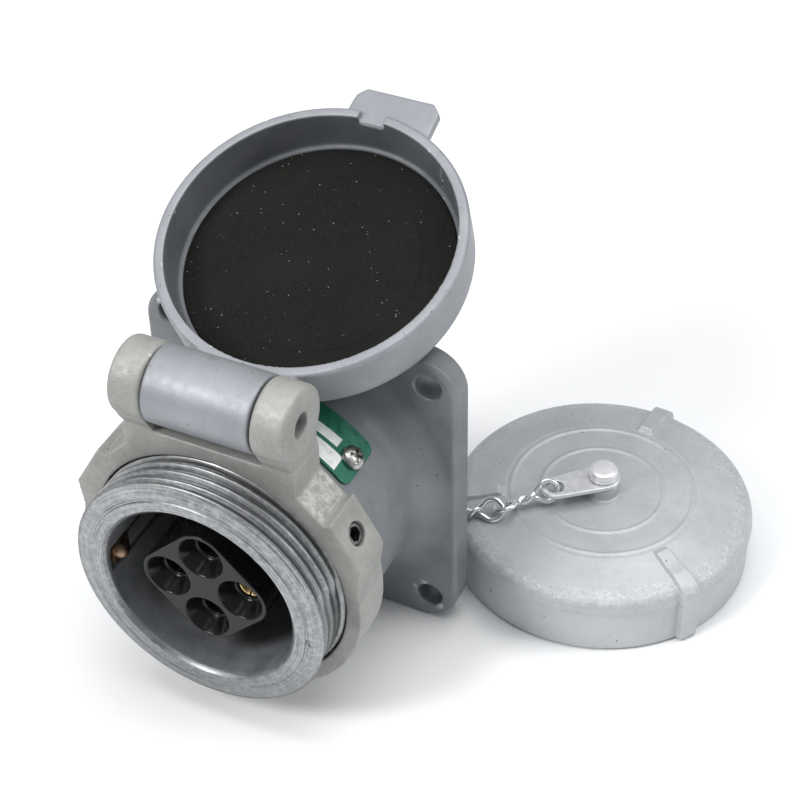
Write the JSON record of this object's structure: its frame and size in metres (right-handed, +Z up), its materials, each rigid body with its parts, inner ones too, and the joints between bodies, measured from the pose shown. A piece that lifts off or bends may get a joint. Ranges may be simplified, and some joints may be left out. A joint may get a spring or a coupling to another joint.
{
  "type": "power inlet",
  "caption": "Square-flange power inlet with recessed contacts, a threaded mouth, a hinged door on a clamp collar and a chained screw cap.",
  "frame": {"origin": "middle of the whole object's footprint, on the surface it stands on, with the door leaning back and the cap lying beside it", "axes": "+Z up, +Y from the mouth towards the mounting flange, +X to the right seen from the mouth"},
  "size_m": [0.1544, 0.145, 0.1267],
  "materials": {
    "aluminium_paint": "satin",
    "door_paint": "satin",
    "raw_casting": "matte",
    "bright_zinc": "glossy",
    "plain_steel": "satin",
    "brass": "satin",
    "bronze": "satin",
    "black_resin": "glossy",
    "rubber": "matte",
    "green_plate": "satin",
    "green_screw": "satin"
  },
  "bodies": {
    "housing": {"housing": "aluminium_paint", "front_insulator": "black_resin", "rear_insulator": "black_resin", "insulator_screw_1": "plain_steel", "insulator_screw_2": "plain_steel", "contact_1": "brass", "terminal_screw_1": "plain_steel", "contact_2": "brass", "terminal_screw_2": "plain_steel", "contact_3": "brass", "terminal_screw_3": "plain_steel", "contact_4": "brass", "terminal_screw_4": "plain_steel", "ground_contact": "bronze", "ground_contact_rivet": "brass", "ground_screw": "green_screw", "nameplate_screw_1": "plain_steel", "nameplate_screw_2": "plain_steel", "nameplate": "green_plate", "hinge_collar": "raw_casting", "set_screw_1": "plain_steel", "set_screw_2": "plain_steel", "set_screw_3": "plain_steel", "hinge_pin": "plain_steel", "torsion_spring": "plain_steel", "chain_eyelet": "bright_zinc", "eyelet_screw": "plain_steel", "eyelet_nut": "plain_steel"},
    "door": {"door": "door_paint", "door_gasket": "rubber"},
    "link_6": {"chain_link_6": "bright_zinc"},
    "link_5": {"chain_link_5": "bright_zinc"},
    "link_4": {"chain_link_4": "bright_zinc"},
    "link_3": {"chain_link_3": "bright_zinc"},
    "link_2": {"chain_link_2": "bright_zinc"},
    "link_1": {"chain_link_1": "bright_zinc"},
    "clip": {"chain_clip": "bright_zinc"},
    "cap": {"cap": "aluminium_paint", "cap_gasket": "rubber", "cap_rivet": "bright_zinc"}
  },
  "joints": [
    {"name": "door_hinge", "type": "hinge", "parent": "housing", "child": "door", "pos_m": [-0.03272, -0.05591, 0.09575], "axis": [1, 0, 0], "range_deg": [0, 248]},
    {"name": "eyelet_swing", "type": "hinge", "parent": "housing", "child": "link_6", "pos_m": [-0.059, -0.00277, 0.00339], "axis": [0, 0, 1], "range_deg": [0, 20]},
    {"name": "link_5_swing", "type": "hinge", "parent": "link_6", "child": "link_5", "pos_m": [-0.04281, -0.00248, 0.00339], "axis": [0, 0, 1], "range_deg": [0, 25]},
    {"name": "link_4_swing", "type": "hinge", "parent": "link_5", "child": "link_4", "pos_m": [-0.02664, -0.00149, 0.00339], "axis": [0, 0, 1], "range_deg": [0, 25]},
    {"name": "link_3_lift", "type": "hinge", "parent": "link_4", "child": "link_3", "pos_m": [-0.01057, -0.00023, 0.00503], "axis": [0.3746, -0.9272, 0], "range_deg": [0, 8]},
    {"name": "link_2_swing", "type": "hinge", "parent": "link_3", "child": "link_2", "pos_m": [-0.00153, 0.00342, 0.01797], "axis": [0, 0, 1], "range_deg": [0, 25]},
    {"name": "link_1_lift", "type": "hinge", "parent": "link_2", "child": "link_1", "pos_m": [0.01323, 0.00851, 0.02229], "axis": [0.7071, -0.7071, 0], "range_deg": [0, 25]},
    {"name": "clip_swing", "type": "hinge", "parent": "link_1", "child": "clip", "pos_m": [0.02457, 0.01985, 0.02455], "axis": [0, 0, 1], "range_deg": [-30, 5]},
    {"name": "cap_spin", "type": "hinge", "parent": "clip", "child": "cap", "pos_m": [0.03528, 0.02949, 0.02445], "axis": [0, 0, 1], "continuous": true}
  ]
}
